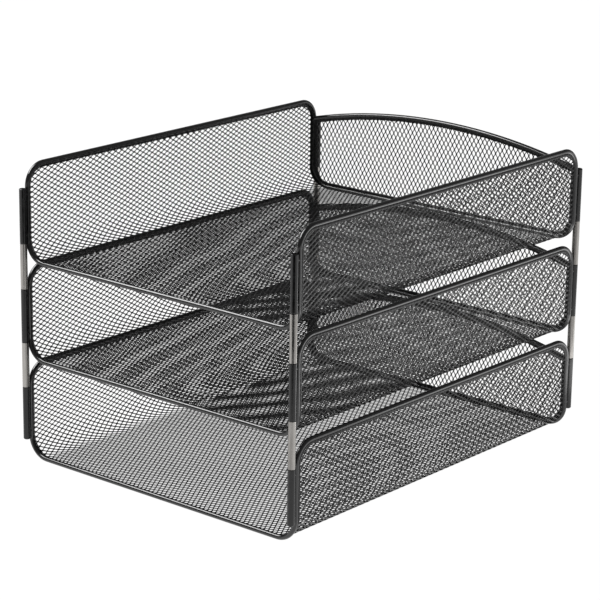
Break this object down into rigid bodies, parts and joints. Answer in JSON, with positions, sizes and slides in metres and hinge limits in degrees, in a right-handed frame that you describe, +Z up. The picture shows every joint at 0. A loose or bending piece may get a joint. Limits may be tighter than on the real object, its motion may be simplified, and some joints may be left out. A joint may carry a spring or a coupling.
{
  "type": "letter tray",
  "caption": "Stacking desktop letter tray: wire-framed mesh baskets with open fronts and arched backs, held one above another on pegged corner posts.",
  "frame": {"origin": "on the desk under the middle of the stack, at the centre of the bounding box's bottom", "axes": "+X right seen from the open front, +Y to the back, +Z up; the open front faces -Y"},
  "size_m": [0.246, 0.3164, 0.2108],
  "materials": {
    "wire_coat": "semi-gloss black powder coat",
    "mesh_coat": "satin black powder coat on expanded steel mesh",
    "post_coat": "semi-gloss black powder coat",
    "weld_coat": "powder coated weld beads",
    "connector_steel": "satin nickel-grey steel"
  },
  "bodies": {
    "bottom_tray": {"bottom_frame_wire": "wire_coat", "bottom_arch_wire": "wire_coat", "bottom_trough_mesh": "mesh_coat", "bottom_back_mesh": "mesh_coat", "bottom_weld_beads": "weld_coat", "bottom_post_front_left": "post_coat", "bottom_post_front_right": "post_coat", "bottom_post_back_left": "post_coat", "bottom_post_back_right": "post_coat", "lower_connector_front_left": "connector_steel", "lower_connector_front_right": "connector_steel", "lower_connector_back_left": "connector_steel", "lower_connector_back_right": "connector_steel"},
    "middle_tray": {"middle_frame_wire": "wire_coat", "middle_arch_wire": "wire_coat", "middle_trough_mesh": "mesh_coat", "middle_back_mesh": "mesh_coat", "middle_weld_beads": "weld_coat", "middle_post_front_left": "post_coat", "middle_post_front_right": "post_coat", "middle_post_back_left": "post_coat", "middle_post_back_right": "post_coat", "upper_connector_front_left": "connector_steel", "upper_connector_front_right": "connector_steel", "upper_connector_back_left": "connector_steel", "upper_connector_back_right": "connector_steel"},
    "top_tray": {"top_frame_wire": "wire_coat", "top_arch_wire": "wire_coat", "top_trough_mesh": "mesh_coat", "top_back_mesh": "mesh_coat", "top_weld_beads": "weld_coat", "top_post_front_left": "post_coat", "top_post_front_right": "post_coat", "top_post_back_left": "post_coat", "top_post_back_right": "post_coat"}
  },
  "joints": [
    {"name": "middle_tray_lift", "type": "slide", "parent": "bottom_tray", "child": "middle_tray", "axis": [0, 0, 1], "range_m": [0, 0.015]},
    {"name": "top_tray_lift", "type": "slide", "parent": "middle_tray", "child": "top_tray", "axis": [0, 0, 1], "range_m": [0, 0.015]}
  ]
}
